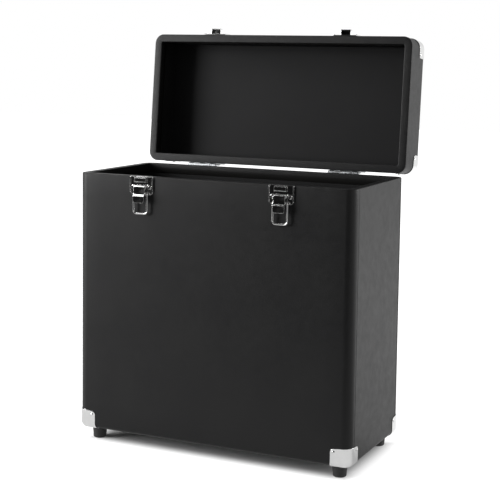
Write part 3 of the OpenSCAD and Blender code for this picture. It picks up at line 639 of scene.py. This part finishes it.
def grip_stitches():
    """Slanted stitches that cross the grip's seam, each a short arch of thread."""
    curve = bpy.data.curves.new("handle_grip_stitches", "CURVE")
    curve.dimensions = "3D"
    curve.bevel_depth = THREAD_R
    curve.bevel_resolution = 2
    curve.use_fill_caps = True
    bite = 1.5 * MM                # how far a stitch enters beside the seam
    slant = 0.9 * MM
    plain_end = 4 * MM
    crown, dive = 0.9, 2.6         # in radii of the thread, above the cover and down into it
    steps = 8
    count = int((GRIP_HALF - plain_end) / STITCH)
    for stitch in range(-count, count + 1):
        spline = curve.splines.new("POLY")
        spline.points.add(steps)
        for i in range(steps + 1):
            share = 2 * i / steps - 1
            along = stitch * STITCH + slant * share
            radius = grip_radius(along, bite / GRIP_R) + THREAD_R * (crown - dive * share ** 4)
            turn = bite * share / GRIP_R
            point = grip_axis + Vector((along, radius * math.sin(turn), radius * math.cos(turn)))
            spline.points[i].co = (*point, 1)
    piece = bpy.data.objects.new("handle_grip_stitches", curve)
    bpy.context.scene.collection.objects.link(piece)
    return piece


stitches = grip_stitches()
stitches.data.materials.append(waxed_thread())
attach(stitches, "handle")

# ---- Studio ----
# White paper under the case, a white room behind it and to its right and a dark one in front,
# a soft lamp on the left, a larger one above it and one on the right.


def studio_paper():
    """White paper: it takes the lamps' shadow of the case, and glows white for the eye outside the
    case's footprint.

    The glow fades out under the footprint, so part of the shadow there is painted shadow. The
    paper also glows for metal and satin all round, apart from a sector in front, where it is
    painted dark for them, a painted dark reflection, while the eye still sees it white."""
    near_glow, far_glow = 0.8, 0.3                   # to the eye, by the case and further off
    mirrored_glow, mirrored_behind = 0.25, 0.5       # in metal and satin, and more behind
    material, tree, place = new_finish("paper_white")
    path = add_node(tree, "LightPath", {})
    spot = add_node(tree, "SeparateXYZ", {"Vector": place})
    reach = add_node(tree, "VectorMath", {0: place}, operation="LENGTH").outputs["Value"]
    facing = add_node(tree, "Math", {0: spot.outputs["Y"], 1: reach}, operation="DIVIDE")
    # Ahead of the case and well away from it, metal and satin see the paper painted dark (#202020,
    # without glow): a painted dark reflection, while the eye still sees it white.
    ahead = add_node(tree, "MapRange", {"Value": facing, "From Min": -0.6, "From Max": -0.75})
    well_away = add_node(tree, "MapRange", {"Value": reach, "From Min": 0.45, "From Max": 0.8})
    dark = add_node(tree, "Math", {0: ahead, 1: well_away}, operation="MULTIPLY")
    painted_dark_reflection = add_node(tree, "Math", {0: dark, 1: path.outputs["Is Glossy Ray"]},
                       operation="MULTIPLY")
    colour = add_node(tree, "Mix", {0: painted_dark_reflection, 6: linear("#c6c6c6"), 7: linear("#202020")},
                      data_type="RGBA")
    paper = add_node(tree, "BsdfDiffuse", {"Color": colour.outputs[2]})
    # The eye's glow fades out under the case's footprint, from 6 mm outside it to 25 mm inside, so
    # part of the shadow there is painted shadow on top of the lamps' own shadow.
    aside = add_node(tree, "Math", {0: spot.outputs["X"]}, operation="ABSOLUTE")
    before = add_node(tree, "Math", {0: spot.outputs["Y"]}, operation="ABSOLUTE")
    off_x = add_node(tree, "Math", {0: aside, 1: HALF_W}, operation="SUBTRACT")
    off_y = add_node(tree, "Math", {0: before, 1: HALF_D}, operation="SUBTRACT")
    clear = add_node(tree, "Math", {0: off_x, 1: off_y}, operation="MAXIMUM")
    glow_round_painted_shadow = add_node(tree, "MapRange", {
        "Value": clear, "From Min": -25 * MM, "From Max": 6 * MM, "To Max": near_glow},
        interpolation_type="SMOOTHSTEP")
    far_off = add_node(tree, "MapRange", {
        "Value": reach, "From Min": 0.3, "From Max": 1.2, "To Max": far_glow})
    white = add_node(tree, "Math", {0: glow_round_painted_shadow, 1: far_off}, operation="ADD")
    seen = add_node(tree, "Math", {0: path.outputs["Is Camera Ray"], 1: white},
                    operation="MULTIPLY")
    behind = add_node(tree, "MapRange", {
        "Value": spot.outputs["Y"], "From Max": 0.1, "To Min": mirrored_glow,
        "To Max": mirrored_glow + mirrored_behind})
    open_floor = add_node(tree, "Math", {0: 1.0, 1: dark}, operation="SUBTRACT")
    lit = add_node(tree, "Math", {0: open_floor, 1: behind}, operation="MULTIPLY")
    mirrored = add_node(tree, "Math", {0: path.outputs["Is Glossy Ray"], 1: lit},
                        operation="MULTIPLY")
    glow = add_node(tree, "Math", {0: seen, 1: mirrored}, operation="ADD")
    light = add_node(tree, "Emission", {"Strength": glow})
    both = add_node(tree, "AddShader", {0: paper, 1: light})
    add_node(tree, "OutputMaterial", {"Surface": both})
    return material


def studio_room():
    """White to the eye. Metal and satin see it white behind and on the right, dark in front."""
    fill = 0.42                    # on matte faces, from all round
    ceiling = 0.06                 # overhead, in metal and satin
    sweep_top = 0.5                # the white dims to this upwards
    world = bpy.data.worlds.new("studio")
    bpy.context.scene.world = world
    world.use_nodes = True
    tree = world.node_tree
    tree.nodes.clear()
    path = add_node(tree, "LightPath", {})
    way = add_node(tree, "TexCoord", {}).outputs["Generated"]
    towards = add_node(tree, "SeparateXYZ", {"Vector": way})
    above = add_node(tree, "MapRange", {
        "Value": towards.outputs["Z"], "From Min": 0.3, "From Max": 0.5, "To Max": ceiling})
    sweep = add_node(tree, "MapRange", {
        "Value": towards.outputs["Z"], "From Min": 0.1, "From Max": 0.5, "To Min": 1.0,
        "To Max": sweep_top})
    behind = add_node(tree, "MapRange", {
        "Value": towards.outputs["Y"], "From Min": -0.02, "From Max": 0.04, "To Max": sweep})
    rightward = add_node(tree, "MapRange", {
        "Value": towards.outputs["X"], "From Min": 0.45, "From Max": 0.6, "To Max": sweep})
    back = add_node(tree, "Math", {0: above, 1: behind}, operation="MAXIMUM")
    around = add_node(tree, "Math", {0: back, 1: rightward}, operation="MAXIMUM")
    mirrored = add_node(tree, "Math", {
        0: path.outputs["Is Glossy Ray"], 1: path.outputs["Is Transmission Ray"]},
        operation="MAXIMUM")
    level = add_node(tree, "Mix", {0: mirrored, 2: fill, 3: around}, data_type="FLOAT")
    shown = add_node(tree, "Math", {0: level, 1: path.outputs["Is Camera Ray"]},
                     operation="MAXIMUM")
    sky = add_node(tree, "Background", {"Color": (1, 1, 1, 1), "Strength": shown})
    add_node(tree, "OutputWorld", {"Surface": sky})


studio_room()
floor_mesh = bpy.data.meshes.new("studio_floor")
reach = 6.0
floor_mesh.from_pydata([(-reach, -reach, 0), (reach, -reach, 0), (reach, reach, 0),
                        (-reach, reach, 0)], [], [(0, 1, 2, 3)])
floor = bpy.data.objects.new("studio_floor", floor_mesh)
bpy.context.scene.collection.objects.link(floor)
floor_mesh.materials.append(studio_paper())


def softbox(name, place, aim, size, watts):
    """A square lamp that looks at a point."""
    data = bpy.data.lights.new(name, "AREA")
    data.shape = "RECTANGLE"
    data.size, data.size_y = size
    data.energy = watts
    light = bpy.data.objects.new(name, data)
    light.location = place
    light.visible_camera = False
    light.rotation_euler = (Vector(aim) - Vector(place)).to_track_quat("-Z", "Y").to_euler()
    bpy.context.scene.collection.objects.link(light)


CASE_MIDDLE = (0, 0, 0.25)
softbox("key_left", (-1.52, -1.14, 0.6), CASE_MIDDLE, (0.8, 0.8), 34)
softbox("overhead_left", (-1.35, -0.75, 1.35), CASE_MIDDLE, (1.3, 1.3), 22)
softbox("side_right", (1.62, 0.95, 0.72), CASE_MIDDLE, (0.8, 0.8), 17)

# ---- Camera ----
# Solved from the case's own edges in the photograph: focal length and centre are in pixels of
# its 500 pixel frame, and the angles are in degrees.

FRAME_PX = 500
FOCAL_PX = 1272
CENTRE_PX = (250, 173)
AZIMUTH, PITCH, ROLL = 25.2, 5.57, 0.77
CAMERA_AT = Vector((645.5, -1348.2, 469.8)) * MM

camera_data = bpy.data.cameras.new("camera")
camera_data.sensor_width = 36.0
camera_data.lens = FOCAL_PX / FRAME_PX * camera_data.sensor_width
camera_data.shift_x = (FRAME_PX / 2 - CENTRE_PX[0]) / FRAME_PX
camera_data.shift_y = (CENTRE_PX[1] - FRAME_PX / 2) / FRAME_PX
camera = bpy.data.objects.new("camera", camera_data)
az, pitch, roll = (math.radians(a) for a in (AZIMUTH, PITCH, ROLL))
ahead = Vector((-math.sin(az) * math.cos(pitch), math.cos(az) * math.cos(pitch), -math.sin(pitch)))
right = Vector((math.cos(az), math.sin(az), 0))
up = right.cross(ahead)
right, up = (right * math.cos(roll) + up * math.sin(roll),
             up * math.cos(roll) - right * math.sin(roll))
turn = Matrix((right, up, -ahead)).transposed().to_4x4()
camera.matrix_world = Matrix.Translation(CAMERA_AT) @ turn
bpy.context.scene.collection.objects.link(camera)
bpy.context.scene.camera = camera
bpy.context.scene.view_settings.view_transform = "Standard"
